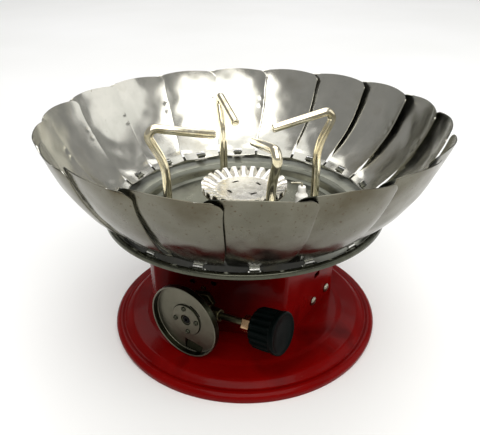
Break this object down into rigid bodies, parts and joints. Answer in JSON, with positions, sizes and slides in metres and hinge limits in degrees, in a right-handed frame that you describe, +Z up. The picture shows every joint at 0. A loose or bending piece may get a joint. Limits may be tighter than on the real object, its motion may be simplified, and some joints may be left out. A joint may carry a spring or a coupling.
{
  "type": "portable gas burner",
  "caption": "Portable gas burner on a round base, with a cartridge connector, control knob, igniter, pot supports and a folding petal windshield.",
  "frame": {"origin": "centre of the base's underside, on the surface it stands on", "axes": "+Z up; -Y out of the cartridge connector's mouth; +X towards the control knob"},
  "size_m": [0.2114, 0.2122, 0.1273],
  "materials": {
    "red_paint": "glossy red stove enamel on pressed steel sheet",
    "petal_steel": "bright nickel-plated sheet, near mirror inside, satin and a little heat-stained outside",
    "pan_steel": "polished stainless sheet",
    "plated_wire": "bright nickel-plated wire, warm tint",
    "chrome_plate": "satin chrome plate",
    "plain_steel": "zinc-plated steel",
    "brass": "machined brass",
    "black_plastic": "moulded black thermoset, slight sheen",
    "red_plastic": "moulded red plastic",
    "white_ceramic": "unglazed white alumina",
    "black_rubber": "matt black rubber"
  },
  "bodies": {
    "burner_body": {"base_dish": "red_paint", "housing": "red_paint", "base_bracket": "plain_steel", "side_rivet_front": "plain_steel", "side_rivet_rear": "plain_steel", "pan": "pan_steel", "support_bush_1": "plain_steel", "support_bush_2": "plain_steel", "support_bush_3": "plain_steel", "support_bush_4": "plain_steel", "burner_cup": "plain_steel", "burner_crown": "pan_steel", "mixing_tube": "plain_steel", "burner_nut": "brass", "jet": "brass", "gas_tube": "brass", "valve_body": "brass", "valve_locknut": "brass", "connector_cup": "chrome_plate", "connector_hub": "chrome_plate", "hub_pin_1": "plain_steel", "hub_pin_2": "plain_steel", "hub_pin_3": "plain_steel", "hub_pin_4": "plain_steel", "connector_seal": "black_rubber", "electrode_ceramic": "white_ceramic", "electrode_wire": "plain_steel", "electrode_lead": "black_rubber", "piezo_body": "black_plastic", "piezo_nut": "black_plastic"},
    "knob_body": {"valve_stem": "plain_steel", "stem_nut": "brass", "knob": "black_plastic"},
    "button_body": {"piezo_button": "red_plastic"},
    "support_body_1": {"pot_support_1": "plated_wire"},
    "support_body_2": {"pot_support_2": "plated_wire"},
    "support_body_3": {"pot_support_3": "plated_wire"},
    "support_body_4": {"pot_support_4": "plated_wire"},
    "petal_body_01": {"petal_01": "petal_steel"},
    "petal_body_02": {"petal_02": "petal_steel"},
    "petal_body_03": {"petal_03": "petal_steel"},
    "petal_body_04": {"petal_04": "petal_steel"},
    "petal_body_05": {"petal_05": "petal_steel"},
    "petal_body_06": {"petal_06": "petal_steel"},
    "petal_body_07": {"petal_07": "petal_steel"},
    "petal_body_08": {"petal_08": "petal_steel"},
    "petal_body_09": {"petal_09": "petal_steel"},
    "petal_body_10": {"petal_10": "petal_steel"},
    "petal_body_11": {"petal_11": "petal_steel"},
    "petal_body_12": {"petal_12": "petal_steel"},
    "petal_body_13": {"petal_13": "petal_steel"},
    "petal_body_14": {"petal_14": "petal_steel"},
    "petal_body_15": {"petal_15": "petal_steel"},
    "petal_body_16": {"petal_16": "petal_steel"},
    "petal_body_17": {"petal_17": "petal_steel"},
    "petal_body_18": {"petal_18": "petal_steel"}
  },
  "joints": [
    {"name": "support_1_swivel", "type": "hinge", "parent": "burner_body", "child": "support_body_1", "pos_m": [0.02743, 0.03351, 0.0674], "axis": [0, 0, 1], "range_deg": [-90, 90]},
    {"name": "support_2_swivel", "type": "hinge", "parent": "burner_body", "child": "support_body_2", "pos_m": [-0.03351, 0.02743, 0.0674], "axis": [0, 0, 1], "range_deg": [-90, 90]},
    {"name": "support_3_swivel", "type": "hinge", "parent": "burner_body", "child": "support_body_3", "pos_m": [-0.02743, -0.03351, 0.0674], "axis": [0, 0, 1], "range_deg": [-90, 90]},
    {"name": "support_4_swivel", "type": "hinge", "parent": "burner_body", "child": "support_body_4", "pos_m": [0.03351, -0.02743, 0.0674], "axis": [0, 0, 1], "range_deg": [-90, 90]},
    {"name": "petal_01_fold", "type": "hinge", "parent": "burner_body", "child": "petal_body_01", "pos_m": [0.07196, 0.00884, 0.0785], "axis": [0.1219, -0.9925, 0], "range_deg": [0, 50]},
    {"name": "petal_02_fold", "type": "hinge", "parent": "burner_body", "child": "petal_body_02", "pos_m": [0.0646, 0.03291, 0.0785], "axis": [0.454, -0.891, 0], "range_deg": [0, 50]},
    {"name": "petal_03_fold", "type": "hinge", "parent": "burner_body", "child": "petal_body_03", "pos_m": [0.04945, 0.05302, 0.0785], "axis": [0.7314, -0.682, 0], "range_deg": [0, 50]},
    {"name": "petal_04_fold", "type": "hinge", "parent": "burner_body", "child": "petal_body_04", "pos_m": [0.02833, 0.06674, 0.0785], "axis": [0.9205, -0.3907, 0], "range_deg": [0, 50]},
    {"name": "petal_05_fold", "type": "hinge", "parent": "burner_body", "child": "petal_body_05", "pos_m": [0.00379, 0.0724, 0.0785], "axis": [0.9986, -0.0523, 0], "range_deg": [0, 50]},
    {"name": "petal_06_fold", "type": "hinge", "parent": "burner_body", "child": "petal_body_06", "pos_m": [-0.0212, 0.06933, 0.0785], "axis": [0.9563, 0.2924, 0], "range_deg": [0, 50]},
    {"name": "petal_07_fold", "type": "hinge", "parent": "burner_body", "child": "petal_body_07", "pos_m": [-0.04363, 0.0579, 0.0785], "axis": [0.7986, 0.6018, 0], "range_deg": [0, 50]},
    {"name": "petal_08_fold", "type": "hinge", "parent": "burner_body", "child": "petal_body_08", "pos_m": [-0.0608, 0.03949, 0.0785], "axis": [0.5446, 0.8387, 0], "range_deg": [0, 50]},
    {"name": "petal_09_fold", "type": "hinge", "parent": "burner_body", "child": "petal_body_09", "pos_m": [-0.07064, 0.01631, 0.0785], "axis": [0.225, 0.9744, 0], "range_deg": [0, 50]},
    {"name": "petal_10_fold", "type": "hinge", "parent": "burner_body", "child": "petal_body_10", "pos_m": [-0.07196, -0.00884, 0.0785], "axis": [-0.1219, 0.9925, 0], "range_deg": [0, 50]},
    {"name": "petal_11_fold", "type": "hinge", "parent": "burner_body", "child": "petal_body_11", "pos_m": [-0.0646, -0.03291, 0.0785], "axis": [-0.454, 0.891, 0], "range_deg": [0, 50]},
    {"name": "petal_12_fold", "type": "hinge", "parent": "burner_body", "child": "petal_body_12", "pos_m": [-0.04945, -0.05302, 0.0785], "axis": [-0.7314, 0.682, 0], "range_deg": [0, 50]},
    {"name": "petal_13_fold", "type": "hinge", "parent": "burner_body", "child": "petal_body_13", "pos_m": [-0.02833, -0.06674, 0.0785], "axis": [-0.9205, 0.3907, 0], "range_deg": [0, 50]},
    {"name": "petal_14_fold", "type": "hinge", "parent": "burner_body", "child": "petal_body_14", "pos_m": [-0.00379, -0.0724, 0.0785], "axis": [-0.9986, 0.0523, 0], "range_deg": [0, 50]},
    {"name": "petal_15_fold", "type": "hinge", "parent": "burner_body", "child": "petal_body_15", "pos_m": [0.0212, -0.06933, 0.0785], "axis": [-0.9563, -0.2924, 0], "range_deg": [0, 50]},
    {"name": "petal_16_fold", "type": "hinge", "parent": "burner_body", "child": "petal_body_16", "pos_m": [0.04363, -0.0579, 0.0785], "axis": [-0.7986, -0.6018, 0], "range_deg": [0, 50]},
    {"name": "petal_17_fold", "type": "hinge", "parent": "burner_body", "child": "petal_body_17", "pos_m": [0.0608, -0.03949, 0.0785], "axis": [-0.5446, -0.8387, 0], "range_deg": [0, 50]},
    {"name": "petal_18_fold", "type": "hinge", "parent": "burner_body", "child": "petal_body_18", "pos_m": [0.07064, -0.01631, 0.0785], "axis": [-0.225, -0.9744, 0], "range_deg": [0, 50]},
    {"name": "knob_turn", "type": "hinge", "parent": "burner_body", "child": "knob_body", "pos_m": [0.0004, -0.04598, 0.0293], "axis": [0.9921, 0, 0.1253], "range_deg": [0, 450]},
    {"name": "igniter_press", "type": "slide", "parent": "burner_body", "child": "button_body", "axis": [-1, 0, 0], "range_m": [0, 0.005], "stiffness_N_per_m": 3000}
  ],
  "couplings": [
    {"joint": "petal_02_fold", "follows": "petal_01_fold", "ratio": 1},
    {"joint": "petal_03_fold", "follows": "petal_01_fold", "ratio": 1},
    {"joint": "petal_04_fold", "follows": "petal_01_fold", "ratio": 1},
    {"joint": "petal_05_fold", "follows": "petal_01_fold", "ratio": 1},
    {"joint": "petal_06_fold", "follows": "petal_01_fold", "ratio": 1},
    {"joint": "petal_07_fold", "follows": "petal_01_fold", "ratio": 1},
    {"joint": "petal_08_fold", "follows": "petal_01_fold", "ratio": 1},
    {"joint": "petal_09_fold", "follows": "petal_01_fold", "ratio": 1},
    {"joint": "petal_10_fold", "follows": "petal_01_fold", "ratio": 1},
    {"joint": "petal_11_fold", "follows": "petal_01_fold", "ratio": 1},
    {"joint": "petal_12_fold", "follows": "petal_01_fold", "ratio": 1},
    {"joint": "petal_13_fold", "follows": "petal_01_fold", "ratio": 1},
    {"joint": "petal_14_fold", "follows": "petal_01_fold", "ratio": 1},
    {"joint": "petal_15_fold", "follows": "petal_01_fold", "ratio": 1},
    {"joint": "petal_16_fold", "follows": "petal_01_fold", "ratio": 1},
    {"joint": "petal_17_fold", "follows": "petal_01_fold", "ratio": 1},
    {"joint": "petal_18_fold", "follows": "petal_01_fold", "ratio": 1}
  ]
}
